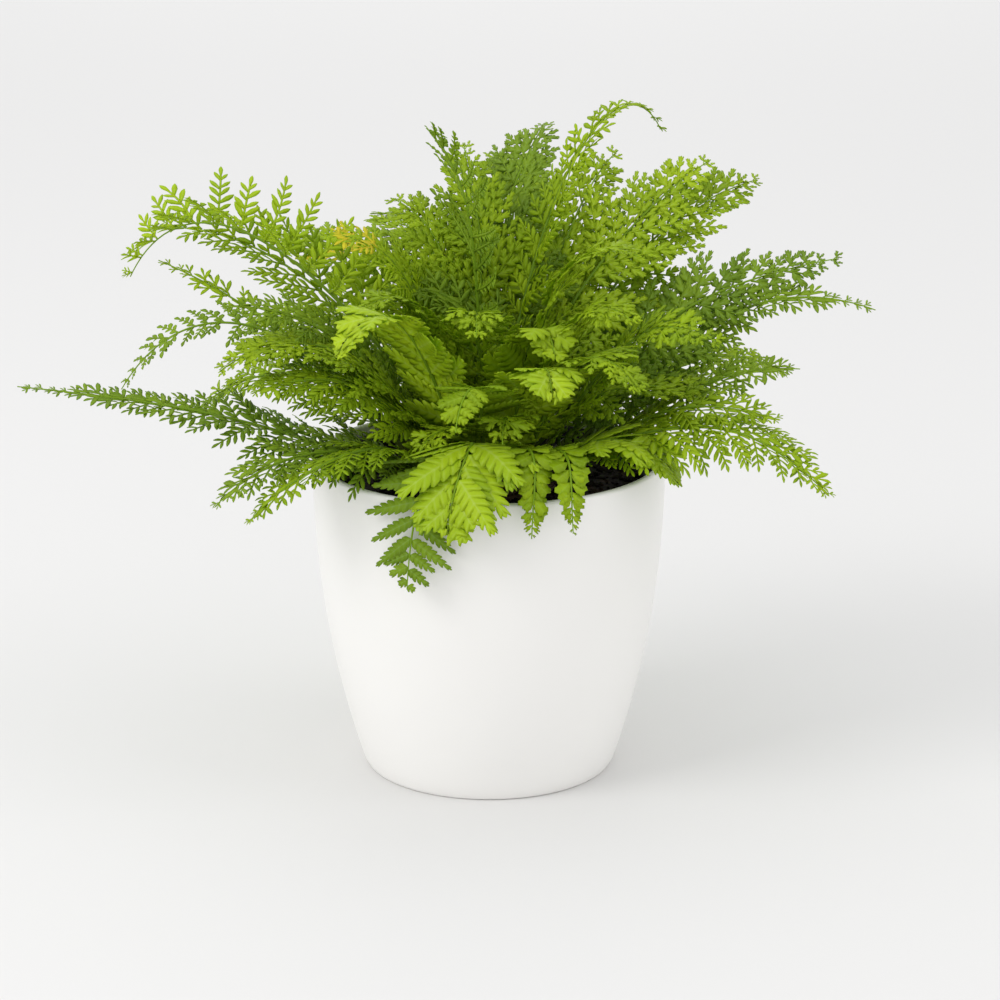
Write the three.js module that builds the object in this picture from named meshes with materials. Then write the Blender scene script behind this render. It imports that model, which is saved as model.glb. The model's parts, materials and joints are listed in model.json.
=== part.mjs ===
// A fern in its black grow pot, standing in a smooth white cover pot.
// Millimetres, +Z up, origin at the middle of the cover pot's base, on the surface it stands on.
// The front of the plant faces -Y. Every frond is one leaf and one solid.

import * as THREE from 'three';

// Driving dimensions of the cover pot.
const potHeight = 127.5;
const rimRadius = 70;
const baseRadius = 50;
const potWall = 3;
const potFloor = 3;
const wallCurve = 2.13;
const footRound = 1.6;

// Driving dimensions of the grow pot inside it.
const growPotWall = 1.3;
const growPotDrop = 4;
const growPotCollar = 9;
const growPotCollarStep = 2;
const growPotFootPlay = 2.5;
const drainHoleRadius = 5;

// The potting mix and the rootstock on it.
const mixDrop = 9;
const mixMound = 2.5;
const crownRadius = 28;
const crownHeight = 7;

// Every round piece has the same number of sides, so that nested walls stay parallel.
const roundSides = 48;
const outerWallSteps = 10;
const innerWallSteps = 7;

// Clearances between pieces that touch.
const fitGap = 0.3;
const growPotPlay = 0.5;

// Sizes that every frond shares.
const stalkRadius = 1.2;
const midribRadius = 0.8;
const tipRadius = 0.25;
const leafletPitch = 9;
const leafletLean = 0.5;
const shortestLeaflet = 4;
const fewestPairs = 4;
const footDirectionShare = 0.42;
const leafClearance = 3.4;
const potClearance = 2;
const leafSampleStep = 2;
const midribSampleStep = 1.5;

// Each frond: ring radius and azimuth of its foot, azimuth of its tip, how far the tip reaches beyond
// the rim, how high the tip stands above the rim, the angles above level at foot and tip, how far the
// tip's direction carries back along the arch, half the blade's width, roll about the midrib, and the
// share of its length that is bare stalk. Azimuth 0 is +X, 90 is the back; angles are in degrees.
const fronds = [
  // Low ones, which pass over the rim all round.
  [24, 205, 189, 114, 36, 24, 8, 0.38, 24, -20, 0.3],
  [24, 186, 184, 74, 31, 58, -60, 0.5, 12, -20, 0.3],
  [24, 222, 211, 51, -3, 38, -38, 0.42, 21, -15, 0.34],
  [24, 237, 219, 45, -7, 46, -50, 0.45, 18, 0, 0.36],
  [24, 242, 249, 10, -31, 58, -84, 1, 22, 0, 0.4],
  [24, 266, 261, 16, -6, 60, -62, 0.85, 22, 8, 0.34],
  [24, 285, 283, 10, -10, 58, -84, 0.85, 8, 0, 0.36],
  [24, 301, 293.5, 15, -10, 56, -80, 0.8, 8, 0, 0.36],
  [24, 318, 326, 16, 2, 48, -62, 0.55, 18, 0, 0.36],
  [24, 332, 335, 73, 3, 44, -36, 0.38, 26, 15, 0.32],
  [24, 348, 341, 48, 26, 36, -12, 0.38, 20, 25, 0.32],
  [24, 2, 352, 52, 38, 34, 2, 0.38, 18, 30, 0.32],
  [24, 14, 4, 83, 57.5, 40, -24, 0.38, 25, 30, 0.3],
  [24, 32, 26, 66, 16, 40, -34, 0.38, 21, 25, 0.32],
  [24, 52, 48, 70, 30, 44, -30, 0.38, 21, 20, 0.32],
  [24, 72, 70, 60, -4, 46, -50, 0.42, 22, 0, 0.32],
  [24, 92, 96, 72, 24, 42, -30, 0.38, 22, 0, 0.32],
  [24, 112, 118, 58, -8, 44, -48, 0.42, 22, 0, 0.32],
  [24, 132, 138, 70, 28, 44, -34, 0.38, 21, -20, 0.32],
  [24, 152, 158, 58, 8, 40, -40, 0.4, 20, -25, 0.32],
  [24, 170, 173, 62, 76, 40, 22, 0.38, 8, -30, 0.3],
  // Arching ones, which fill the middle of the clump.
  [16, 6, 8, 70, 75, 52, 4, 0.38, 23, 45, 0.34],
  [16, 30, 29, 53, 99, 60, 10, 0.38, 31, 35, 0.34],
  [16, 54, 56, 48, 62, 58, -14, 0.38, 27, 20, 0.32],
  [16, 78, 84, 42, 100, 64, -14, 0.38, 29, 0, 0.32],
  [16, 102, 112, 46, 74, 60, -16, 0.38, 29, 0, 0.32],
  [16, 126, 136, 50, 72, 60, -12, 0.38, 26, -20, 0.34],
  [16, 150, 160, 74, 80, 57, -6, 0.38, 24, -40, 0.34],
  [16, 172, 168, 76, 66, 70, -62, 0.44, 22, -20, 0.34],
  [16, 196, 196, 34, 66, 52, -4, 0.38, 19, -35, 0.32],
  [16, 220, 209, 31, 39, 50, -14, 0.38, 25, -25, 0.34],
  [16, 244, 230, 16, 57, 62, -50, 0.5, 18, 0, 0.34],
  [16, 268, 262, 4, 28, 60, -60, 0.6, 16, 0, 0.34],
  [16, 292, 290, 2, 40, 64, -50, 0.5, 18, 0, 0.34],
  [16, 316, 311, 14, 42, 60, -45, 0.5, 20, 0, 0.36],
  [16, 340, 334, 30, 56, 50, -30, 0.42, 15, 30, 0.32],
  // Upright ones from the heart of the clump.
  [8, 40, 48, 10, 110, 70, 24, 0.38, 24, 40, 0.34],
  [8, 12, 31, 34, 107, 72, 20, 0.38, 27, 40, 0.34],
  [8, 345, 340, -8, 84, 74, -25, 0.42, 22, 0, 0.36],
  [8, 80, 73, 2, 120, 76, 10, 0.38, 26, 0, 0.36],
  [8, 215, 215, -10, 66, 72, -35, 0.45, 21, 0, 0.34],
  [8, 270, 262, -22, 58, 74, -45, 0.5, 20, 0, 0.34],
  [8, 150, 135, -18, 96, 76, 20, 0.38, 26, -20, 0.36],
  [2.5, 225, 202, -44, 133, 86, 50, 0.3, 29, 0, 0.36],
  [2.5, 330, 33, 10, 123, 84, -62, 0.38, 14, 0, 0.4],
  // Two short young ones, still inside the pot.
  [24, 229, 227, -20, -3, 30, -6, 0.38, 6, 0, 0.3],
  [24, 310, 309, -21, -3, 32, -10, 0.38, 5, 0, 0.3],
  // Later ones, which fill the gaps between the rest.
  [12, 328, 186, -30, 66, 74, -10, 0.45, 14, -40, 0.36],
  [12, 304, 296, -14, 52, 62, -50, 0.5, 15, 0, 0.36],
  [12, 256, 246, -10, 14, 54, -50, 0.5, 14, 0, 0.36],
  [12, 280, 277, -8, 20, 54, -50, 0.5, 15, 0, 0.36],
  [12, 208, 202, 40, 45, 52, -34, 0.42, 22, -15, 0.36],
  [8, 182, 192, -4, 92, 68, 6, 0.4, 20, -30, 0.36],
  [12, 340, 322, -2, 62, 66, -34, 0.42, 20, 15, 0.36],
  [12, 352, 350, 20, 26, 52, -30, 0.42, 19, 15, 0.36],
  [8, 115, 100, -24, 117, 78, 30, 0.38, 22, 0, 0.36],
];

const rimHeight = potHeight;
const growPotTop = potHeight - growPotDrop;
const growPotBottom = potFloor + fitGap;
const mixTop = growPotTop - mixDrop;

function radians(degrees) {
  return THREE.MathUtils.degToRad(degrees);
}

// The cover pot's outer wall leaves the base slanting out and turns upright towards the rim.
function outerRadius(height) {
  const share = THREE.MathUtils.clamp(height / potHeight, 0, 1);
  return baseRadius + (rimRadius - baseRadius) * (1 - (1 - share) ** wallCurve);
}

function innerRadius(height) {
  return outerRadius(height) - potWall;
}

// The grow pot's collar fits the cover pot just under the rim, and its foot stands on the floor.
const growPotCollarRadius = innerRadius(growPotTop - growPotCollar) - growPotPlay;
const growPotTopRadius = growPotCollarRadius - growPotCollarStep;
const growPotFootRadius = innerRadius(growPotBottom) - growPotFootPlay;
const growPotCollarFoot = growPotTop - growPotCollar;

function growPotOuterRadius(height) {
  const share = (height - growPotBottom) / (growPotCollarFoot - growPotBottom);
  return THREE.MathUtils.lerp(growPotFootRadius, growPotTopRadius, share);
}

function growPotInnerRadius(height) {
  return growPotOuterRadius(height) - growPotWall;
}

// The potting mix lies level at the wall and rises a little to the middle.
const mixRadius = growPotInnerRadius(mixTop) - fitGap;

function mixSurface(radius) {
  const share = Math.min(radius / mixRadius, 1);
  return mixTop + mixMound * (1 - share * share);
}

function crownSurface(radius) {
  const share = Math.min(radius / crownRadius, 1);
  return mixSurface(radius) + fitGap + crownHeight * (1 - share * share);
}

// A round body from a profile of [radius, height] points that starts and ends on the axis,
// or closes on itself. The profile runs up the outside and down the inside.
function turned(profile, sides) {
  const points = profile.map(([radius, height]) => new THREE.Vector2(radius, height));
  const geometry = new THREE.LatheGeometry(points, sides);
  geometry.rotateX(Math.PI / 2);
  return geometry;
}

function evenly(from, to, steps) {
  return Array.from({ length: steps + 1 }, (_, step) => THREE.MathUtils.lerp(from, to, step / steps));
}

function roundCorner(centreRadius, centreHeight, radius, fromDegrees, toDegrees, steps) {
  return evenly(fromDegrees, toDegrees, steps).map((angle) => [
    centreRadius + radius * Math.cos(radians(angle)),
    centreHeight + radius * Math.sin(radians(angle)),
  ]);
}

function coverPotGeometry() {
  const lip = potWall / 2;
  const outside = evenly(2 * footRound, potHeight - lip, outerWallSteps)
    .map((z) => [outerRadius(z), z]);
  const inside = evenly(potHeight - lip, 2 * footRound + potFloor, innerWallSteps)
    .map((z) => [innerRadius(z), z]);
  return turned([
    [0, 0],
    ...roundCorner(baseRadius - footRound, footRound, footRound, -90, -30, 2),
    ...outside,
    ...roundCorner(rimRadius - lip, potHeight - lip, lip, 45, 135, 2),
    ...inside,
    [innerRadius(potFloor) - footRound, potFloor],
    [0, potFloor],
  ], roundSides);
}

// The grow pot has a stepped collar at its top and one drain hole in its floor.
function growPotGeometry() {
  const collarInner = growPotCollarRadius - growPotWall;
  const inside = growPotBottom + growPotWall;
  return turned([
    [drainHoleRadius, growPotBottom],
    [growPotFootRadius, growPotBottom],
    [growPotTopRadius, growPotCollarFoot],
    [growPotCollarRadius, growPotCollarFoot],
    [growPotCollarRadius, growPotTop],
    [collarInner, growPotTop],
    [collarInner, growPotCollarFoot + growPotWall],
    [growPotInnerRadius(growPotCollarFoot + growPotWall), growPotCollarFoot + growPotWall],
    [growPotInnerRadius(inside), inside],
    [drainHoleRadius, inside],
    [drainHoleRadius, growPotBottom],
  ], roundSides);
}

function mixGeometry() {
  const bottom = growPotBottom + growPotWall + fitGap;
  const mound = [1, 0.8, 0.6, 0.4, 0.2, 0]
    .map((share) => share * mixRadius)
    .map((radius) => [radius, mixSurface(radius)]);
  return turned([
    [0, bottom],
    [growPotInnerRadius(bottom) - fitGap, bottom],
    ...mound,
  ], roundSides);
}

function crownGeometry() {
  const under = [0, 0.33, 0.66]
    .map((share) => share * crownRadius)
    .map((radius) => [radius, mixSurface(radius) + fitGap]);
  const over = [1, 0.85, 0.65, 0.45, 0.2, 0]
    .map((share) => share * crownRadius)
    .map((radius) => [radius, crownSurface(radius)]);
  return turned([...under, ...over], roundSides);
}

// A frond's midrib is one cubic curve from its foot on the crown to its tip.
function midribOf([ring, footAzimuth, tipAzimuth, beyond, rise, footAngle, tipAngle, arch]) {
  const reach = rimRadius + beyond;
  const at = (radius, azimuth, height) => new THREE.Vector3(
    radius * Math.cos(radians(azimuth)),
    radius * Math.sin(radians(azimuth)),
    height,
  );
  const along = (azimuth, angle) => at(Math.cos(radians(angle)), azimuth, Math.sin(radians(angle)));
  const foot = at(ring, footAzimuth, crownSurface(ring) + fitGap);
  const tip = at(reach, tipAzimuth, rimHeight + rise);
  const span = foot.distanceTo(tip);
  return new THREE.CubicBezierCurve3(
    foot,
    foot.clone().addScaledVector(along(footAzimuth, footAngle), footDirectionShare * span),
    tip.clone().addScaledVector(along(tipAzimuth, tipAngle), -arch * span),
    tip,
  );
}

// The blade lies across the midrib: side points to the left of the way it grows, face is its upper side.
function stationOf(midrib, share, roll) {
  const point = midrib.getPointAt(share);
  const along = midrib.getTangentAt(share);
  const travel = midrib.v3.clone().sub(midrib.v0).setZ(0).normalize();
  const side = new THREE.Vector3(-travel.y, travel.x, 0);
  side.addScaledVector(along, -side.dot(along)).normalize();
  side.applyAxisAngle(along, radians(roll));
  const face = new THREE.Vector3().crossVectors(along, side);
  return { point, along, side, face };
}

// Half the blade's width along the blade, from its lowest leaflets at 0 to its tip at 1.
function bladeOutline(share) {
  return Math.min(1, 0.55 + 2 * share) * (1 - share ** 2) ** 0.8;
}

// Where fronds already are, kept in cubes so that near points are found quickly.
const cubeSize = 4;
const takenSpace = new Map();

function cubeKey(x, y, z) {
  return `${Math.floor(x / cubeSize)},${Math.floor(y / cubeSize)},${Math.floor(z / cubeSize)}`;
}

function takeSpace(point, owner) {
  const key = cubeKey(point.x, point.y, point.z);
  if (!takenSpace.has(key)) {
    takenSpace.set(key, []);
  }
  takenSpace.get(key).push({ point, owner });
}

function isFree(point, owner) {
  for (let x = -1; x <= 1; x += 1) {
    for (let y = -1; y <= 1; y += 1) {
      for (let z = -1; z <= 1; z += 1) {
        const key = cubeKey(point.x + x * cubeSize, point.y + y * cubeSize, point.z + z * cubeSize);
        const near = takenSpace.get(key) ?? [];
        if (near.some((taken) => taken.owner !== owner && taken.point.distanceTo(point) < leafClearance)) {
          return false;
        }
      }
    }
  }
  return true;
}

function isClearOfPot(point) {
  if (point.z > rimHeight + potClearance) {
    return true;
  }
  const radius = Math.hypot(point.x, point.y);
  if (radius > outerRadius(point.z) + potClearance) {
    return true;
  }
  const insideWall = radius < growPotInnerRadius(point.z) - potClearance;
  return insideWall && point.z > crownSurface(radius) + potClearance;
}

// The points that a pointed leaflet of this length covers, on one side of the midrib.
function leafletPoints(station, direction, length, pitch) {
  const points = [];
  for (let out = leafSampleStep; out < length + leafSampleStep; out += leafSampleStep) {
    const reach = Math.min(out, length);
    const halfWidth = 0.5 * pitch * (1 - reach / length);
    const steps = Math.ceil((2 * halfWidth) / leafSampleStep);
    evenly(-halfWidth, halfWidth, Math.max(steps, 1)).forEach((across) => {
      points.push(station.point.clone()
        .addScaledVector(station.side, direction * reach)
        .addScaledVector(station.along, leafletLean * reach + across));
    });
  }
  return points;
}

// A leaflet grows to its full length, or stops short where another frond or the pot is in its way.
function grownLeaflet(station, direction, fullLength, pitch, owner) {
  for (let length = fullLength; length > shortestLeaflet; length -= leafSampleStep) {
    const points = leafletPoints(station, direction, length, pitch);
    if (points.every((point) => isFree(point, owner) && isClearOfPot(point))) {
      points.forEach((point) => takeSpace(point, owner));
      return length;
    }
  }
  return midribRadius;
}

// One cross-section of a frond: left edge, ridge, right edge and keel.
function section({ point, along, side, face }, left, right, thickness) {
  return [
    point.clone().addScaledVector(side, left).addScaledVector(along, leafletLean * (left - thickness)),
    point.clone().addScaledVector(face, thickness),
    point.clone().addScaledVector(side, -right).addScaledVector(along, leafletLean * (right - thickness)),
    point.clone().addScaledVector(face, -thickness),
  ];
}

// The stalk's foot is cut to sit on the crown.
function footSection(station) {
  return section(station, stalkRadius, stalkRadius, stalkRadius)
    .map((corner) => corner.setZ(crownSurface(Math.hypot(corner.x, corner.y)) + fitGap));
}

function skinned(sections) {
  const positions = sections.flat().flatMap((corner) => corner.toArray());
  const faces = [];
  for (let s = 0; s < sections.length - 1; s += 1) {
    for (let corner = 0; corner < 4; corner += 1) {
      const a = 4 * s + corner;
      const b = 4 * s + ((corner + 1) % 4);
      if (corner % 2 === 0) {
        faces.push(a, b, a + 4, b, b + 4, a + 4);
      } else {
        faces.push(a, b, b + 4, a, b + 4, a + 4);
      }
    }
  }
  const end = positions.length / 3 - 4;
  faces.push(0, 3, 2, 0, 2, 1);
  faces.push(end, end + 1, end + 2, end, end + 2, end + 3);
  const geometry = new THREE.BufferGeometry();
  geometry.setAttribute('position', new THREE.Float32BufferAttribute(positions, 3));
  geometry.setIndex(faces);
  return geometry;
}

const midribs = fronds.map(midribOf);

function claimMidribs() {
  midribs.forEach((midrib, owner) => {
    const steps = Math.ceil(midrib.getLength() / midribSampleStep);
    midrib.getSpacedPoints(steps).forEach((point) => takeSpace(point, owner));
  });
}

function frondGeometry(frond, owner) {
  const midrib = midribs[owner];
  const [halfWidth, roll, bareShare] = frond.slice(8);
  const bladeLength = (1 - bareShare) * midrib.getLength();
  const pairs = Math.max(fewestPairs, Math.round(bladeLength / leafletPitch));
  const pitch = bladeLength / pairs;
  const along = (bladeShare) => bareShare + (1 - bareShare) * bladeShare;
  const sections = [footSection(stationOf(midrib, 0, roll))];
  [0.25, 0.5, 0.75].forEach((share) => {
    const station = stationOf(midrib, share * bareShare, roll);
    sections.push(section(station, stalkRadius, stalkRadius, stalkRadius));
  });
  for (let pair = 0; pair < pairs; pair += 1) {
    const thickness = THREE.MathUtils.lerp(stalkRadius, midribRadius, pair / pairs);
    const notch = stationOf(midrib, along(pair / pairs), roll);
    sections.push(section(notch, thickness, thickness, thickness));
    const bladeShare = (pair + 0.5) / pairs;
    const station = stationOf(midrib, along(bladeShare), roll);
    const fullLength = halfWidth * bladeOutline(bladeShare);
    const left = grownLeaflet(station, 1, fullLength, pitch, owner);
    const right = grownLeaflet(station, -1, fullLength, pitch, owner);
    sections.push(section(station, left, right, midribRadius));
  }
  sections.push(section(stationOf(midrib, 1, roll), tipRadius, tipRadius, tipRadius));
  return skinned(sections);
}

const whiteGlaze = new THREE.MeshStandardMaterial({ color: 0xf2f0ec, roughness: 0.35, metalness: 0 });
const blackPlastic = new THREE.MeshStandardMaterial({ color: 0x15151a, roughness: 0.5, metalness: 0 });
const darkMix = new THREE.MeshStandardMaterial({ color: 0x241a12, roughness: 0.95, metalness: 0 });
const brownScales = new THREE.MeshStandardMaterial({ color: 0x4a3420, roughness: 0.9, metalness: 0 });
const midGreen = new THREE.MeshStandardMaterial({ color: 0x5f9a1c, roughness: 0.5, metalness: 0 });

const pottedFern = new THREE.Group();

function addPiece(name, geometry, material) {
  const piece = new THREE.Mesh(geometry, material);
  piece.name = name;
  pottedFern.add(piece);
}

addPiece('cover_pot', coverPotGeometry(), whiteGlaze);
addPiece('grow_pot', growPotGeometry(), blackPlastic);
addPiece('potting_mix', mixGeometry(), darkMix);
addPiece('crown', crownGeometry(), brownScales);
claimMidribs();
fronds.forEach((frond, owner) => {
  const name = `frond_${String(owner + 1).padStart(2, '0')}`;
  addPiece(name, frondGeometry(frond, owner), midGreen);
});

export default pottedFern;
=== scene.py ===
# %% [markdown]
# # A potted fern
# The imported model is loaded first, as a fixed frame. Every piece made below is in metres in that frame,
# so it lands in its place with no fitting. The fern's front faces -Y, and +Z is up.

# %% Load the frame
import json
import math
import random

import bpy
import numpy as np
from mathutils import Matrix, Vector


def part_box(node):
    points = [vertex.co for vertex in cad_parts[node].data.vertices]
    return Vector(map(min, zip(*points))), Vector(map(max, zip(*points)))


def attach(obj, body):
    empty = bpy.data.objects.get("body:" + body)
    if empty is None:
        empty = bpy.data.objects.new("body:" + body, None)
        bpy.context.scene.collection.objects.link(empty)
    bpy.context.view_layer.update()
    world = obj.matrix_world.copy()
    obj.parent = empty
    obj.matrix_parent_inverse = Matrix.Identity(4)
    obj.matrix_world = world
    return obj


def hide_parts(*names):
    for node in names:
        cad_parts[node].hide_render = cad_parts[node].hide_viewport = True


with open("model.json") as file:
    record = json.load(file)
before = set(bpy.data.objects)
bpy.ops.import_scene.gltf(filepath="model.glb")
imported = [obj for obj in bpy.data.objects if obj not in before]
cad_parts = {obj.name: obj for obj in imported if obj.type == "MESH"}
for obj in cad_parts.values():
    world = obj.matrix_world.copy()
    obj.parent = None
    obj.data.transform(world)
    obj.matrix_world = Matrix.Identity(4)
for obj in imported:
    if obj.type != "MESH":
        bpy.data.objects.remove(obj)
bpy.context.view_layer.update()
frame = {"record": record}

MM = 0.001

# %% [markdown]
# ## Selecting
# An operator works on whatever is selected, and the loaded nodes all are. So each step first selects
# just what it means to change: a few objects, or in edit mode the points at a place.

# %% Selection helpers
def only(*objects):
    """Leaves just these objects selected, with the first one active."""
    if bpy.context.mode != "OBJECT":
        bpy.ops.object.mode_set(mode="OBJECT")
    bpy.ops.object.select_all(action="DESELECT")
    for thing in objects:
        thing.select_set(True)
    bpy.context.view_layer.objects.active = objects[0]
    return objects[0]


def pick(thing, wanted):
    """Selects, in edit mode, the points whose place passes the test."""
    bpy.ops.object.mode_set(mode="OBJECT")
    for group in (thing.data.vertices, thing.data.edges, thing.data.polygons):
        group.foreach_set("select", [False] * len(group))
    for point in thing.data.vertices:
        point.select = wanted(point.co)
    bpy.ops.object.mode_set(mode="EDIT")
    bpy.ops.mesh.select_mode(type="VERT")


def new_from_last(name):
    """Names the object that the last operator added, and its data."""
    thing = bpy.context.object
    thing.name = thing.data.name = name
    return thing


# %% [markdown]
# ## Copying and joining
# Most pieces are many copies of a few shapes. Each copy has its own mesh and is moved as it is made.
# In the end all of them are joined into one object.

# %% Copy helpers
def joined(name, pieces):
    whole = only(*pieces)
    if len(pieces) > 1:
        bpy.ops.object.join()
    whole.name = whole.data.name = name
    return whole


def copy_of(shape, *changes):
    """A copy with its own mesh, moved by the given matrices in turn."""
    copy = bpy.data.objects.new("copy", shape.data.copy())
    bpy.context.collection.objects.link(copy)
    for change in changes:
        copy.data.transform(change)
    if changes and changes[0].determinant() < 0:
        copy.data.flip_normals()
    return copy


def scattered(name, shapes, count, rng, place_of):
    """Copies of the shapes in turn, each at a place of its own, joined into one object."""
    return joined(name, [copy_of(shapes[number % len(shapes)], place_of(rng)) for number in range(count)])


# %% [markdown]
# ## Sizes taken from the frame
# The pots give their own sizes. The crown is a low mound, so its height at any radius follows from its
# box: highest in the middle, and lowest at its edge.

# %% Read the sizes
def box_of(node):
    low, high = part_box(node)
    return Vector(low), Vector(high)


pot_high = box_of("cover_pot")[1]
RIM_RADIUS = pot_high.x
RIM_HEIGHT = pot_high.z
grow_low, grow_high = box_of("grow_pot")
mix_low, mix_high = box_of("potting_mix")
crown_low, crown_high = box_of("crown")


def crown_height(radius):
    share = min(radius / crown_high.x, 1)
    return crown_high.z - (crown_high.z - crown_low.z) * share * share


print("rim", round(RIM_RADIUS, 4), round(RIM_HEIGHT, 4), "crown", crown_high)

# %% [markdown]
# ## Camera
# The plant is seen from a little above, with a long lens that keeps the pot's sides nearly parallel.
# The camera only tilts: its pitch, distance and lens set how round the pot's rim looks.

# %% Place the camera
CAMERA_PLACE = (0.0044, -1.2386, 0.4771)
CAMERA_PITCH = math.radians(16.57)
bpy.ops.object.select_all(action="DESELECT")
bpy.ops.object.camera_add(location=CAMERA_PLACE, rotation=(math.pi / 2 - CAMERA_PITCH, 0, 0))
camera = new_from_last("camera")
camera.data.lens = 116.7
camera.data.sensor_width = 36
bpy.context.scene.camera = camera
print("camera at", CAMERA_PLACE, "with a lens of", camera.data.lens)

# %% [markdown]
# ## Floor and light
# A plain pale floor runs far past the view. A soft light from the front left models the pot. Weaker
# ones fill the right, the top and the front, and one lifts the floor far behind. The world's even glow
# keeps every shadow pale.

# %% Lay the floor
bpy.ops.mesh.primitive_plane_add(size=12, location=(0, 0, 0))
floor = new_from_last("floor")
floor_material = bpy.data.materials.new("pale floor")
floor_material.use_nodes = True
floor_shader = floor_material.node_tree.nodes["Principled BSDF"]
floor_shader.inputs["Base Color"].default_value = (0.75, 0.742, 0.728, 1)
floor_shader.inputs["Roughness"].default_value = 0.9
floor_shader.inputs["Specular IOR Level"].default_value = 0.1
floor.data.materials.append(floor_material)


# %% Hang the lights
def soft_light(name, place, target, size, power):
    """A square area light that looks at its target."""
    bpy.ops.object.light_add(type="AREA", location=place)
    light = new_from_last(name)
    light.data.size = size
    light.data.energy = power
    aim = Vector(target) - Vector(place)
    light.rotation_euler = aim.to_track_quat("-Z", "Y").to_euler()
    print("light:", name, power, "W")


soft_light("key", (-1.5, -0.9, 1.4), (0, 0, 0.13), 1.0, 15)
soft_light("side", (1.7, -0.5, 1.1), (0, 0, 0.13), 1.0, 4.5)
soft_light("top", (-0.2, 0.5, 1.9), (0, 0, 0.13), 1.6, 4)
soft_light("front", (-0.1, -1.7, 0.9), (0, -0.25, 0.05), 1.2, 0.5)
soft_light("back", (0, 3.2, 1.8), (0, 3.3, 0), 2.0, 13)
world = bpy.data.worlds.new("studio")
bpy.context.scene.world = world
world.use_nodes = True
world.node_tree.nodes["Background"].inputs["Color"].default_value = (0.97, 0.98, 1, 1)
world.node_tree.nodes["Background"].inputs["Strength"].default_value = 0.9
bpy.context.scene.view_settings.view_transform = "Standard"

# %% [markdown]
# ## Shader maths
# A material is a graph of nodes. Here a socket is wrapped in a small class, so that a sum or a product
# of two patterns is written as plain arithmetic, and one method adds every other kind of node.

# %% Wrap the sockets
class Field:
    """A value that varies over a surface. Arithmetic on it adds Math nodes."""

    def __init__(self, paint, socket):
        self.paint = paint
        self.socket = socket

    def maths(self, operation, *others):
        return self.paint.add("ShaderNodeMath", {"operation": operation}, *others)

    def __add__(self, other):
        return self.maths("ADD", self, other)

    def __mul__(self, other):
        return self.maths("MULTIPLY", self, other)

    def __sub__(self, other):
        return self.maths("SUBTRACT", self, other)

    def __rsub__(self, other):
        return self.maths("SUBTRACT", other, self)

    __radd__ = __add__
    __rmul__ = __mul__

    def clipped(self):
        return self.paint.add("ShaderNodeClamp", {}, self)

    def above(self, level, softness):
        """0 below the level and 1 above it, with a soft step between them."""
        return ((self - level) * (1 / softness)).clipped()


class Paint:
    """A new material whose nodes are added one call at a time."""

    def __init__(self, name, roughness):
        self.material = bpy.data.materials.new(name)
        self.material.use_nodes = True
        self.tree = self.material.node_tree
        self.shader = self.tree.nodes["Principled BSDF"]
        self.shader.inputs["Roughness"].default_value = roughness

    def add(self, kind, settings, *values, output=0, **named):
        node = self.tree.nodes.new(kind)
        for name, setting in settings.items():
            setattr(node, name, setting)
        for place, value in enumerate(values):
            self.feed(node.inputs[place], value)
        for name, value in named.items():
            self.feed(node.inputs[name.replace("_", " ")], value)
        return Field(self, node.outputs[output])

    def feed(self, socket, value):
        if isinstance(value, Field):
            self.tree.links.new(value.socket, socket)
        else:
            socket.default_value = value

    def place(self):
        return self.add("ShaderNodeTexCoord", {}, output="Object")

    def noise(self, place, scale, detail):
        return self.add("ShaderNodeTexNoise", {}, Vector=place, Scale=scale, Detail=detail, output="Fac")

    def mix(self, share, low, high):
        """A colour between two colours: inputs 6 and 7 of a Mix node, and its output 2."""
        node = self.tree.nodes.new("ShaderNodeMix")
        node.data_type = "RGBA"
        for place, value in ((0, share), (6, low), (7, high)):
            self.feed(node.inputs[place], value)
        return Field(self, node.outputs[2])

    def bump(self, height, strength, distance):
        normal = self.add("ShaderNodeBump", {}, Height=height, Strength=strength, Distance=distance)
        self.feed(self.shader.inputs["Normal"], normal)

    def finish(self, colour, roughness=None):
        self.feed(self.shader.inputs["Base Color"], colour)
        if roughness is not None:
            self.feed(self.shader.inputs["Roughness"], roughness)
        return self.material


# %% [markdown]
# ## Pot finishes
# The cover pot is smooth white plastic with a satin sheen: hardly any grain, a faint unevenness in its
# gloss, and a touch of warmth. The grow pot is cheap black plastic, scuffed grey in places.

# %% Mix the pot finishes
def white_plastic():
    paint = Paint("white satin plastic", 0.38)
    place = paint.place()
    cloud = paint.noise(place, 9, 2)
    grain = paint.noise(place, 1400, 2)
    paint.shader.inputs["Specular IOR Level"].default_value = 0.45
    paint.bump(grain, 0.04, 0.0001)
    colour = paint.mix(cloud, (0.88, 0.865, 0.835, 1), (0.915, 0.905, 0.88, 1))
    return paint.finish(colour, 0.34 + 0.1 * cloud)


def black_plastic():
    paint = Paint("black grow-pot plastic", 0.5)
    place = paint.place()
    scuffs = paint.noise(place, 60, 6).above(0.6, 0.1)
    grain = paint.noise(place, 900, 2)
    paint.bump(grain, 0.15, 0.0002)
    colour = paint.mix(scuffs, (0.008, 0.008, 0.009, 1), (0.03, 0.03, 0.032, 1))
    return paint.finish(colour, 0.42 + 0.25 * scuffs)


WHITE_PLASTIC = white_plastic()
BLACK_PLASTIC = black_plastic()
print("pot finishes:", WHITE_PLASTIC.name, "and", BLACK_PLASTIC.name)
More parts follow.
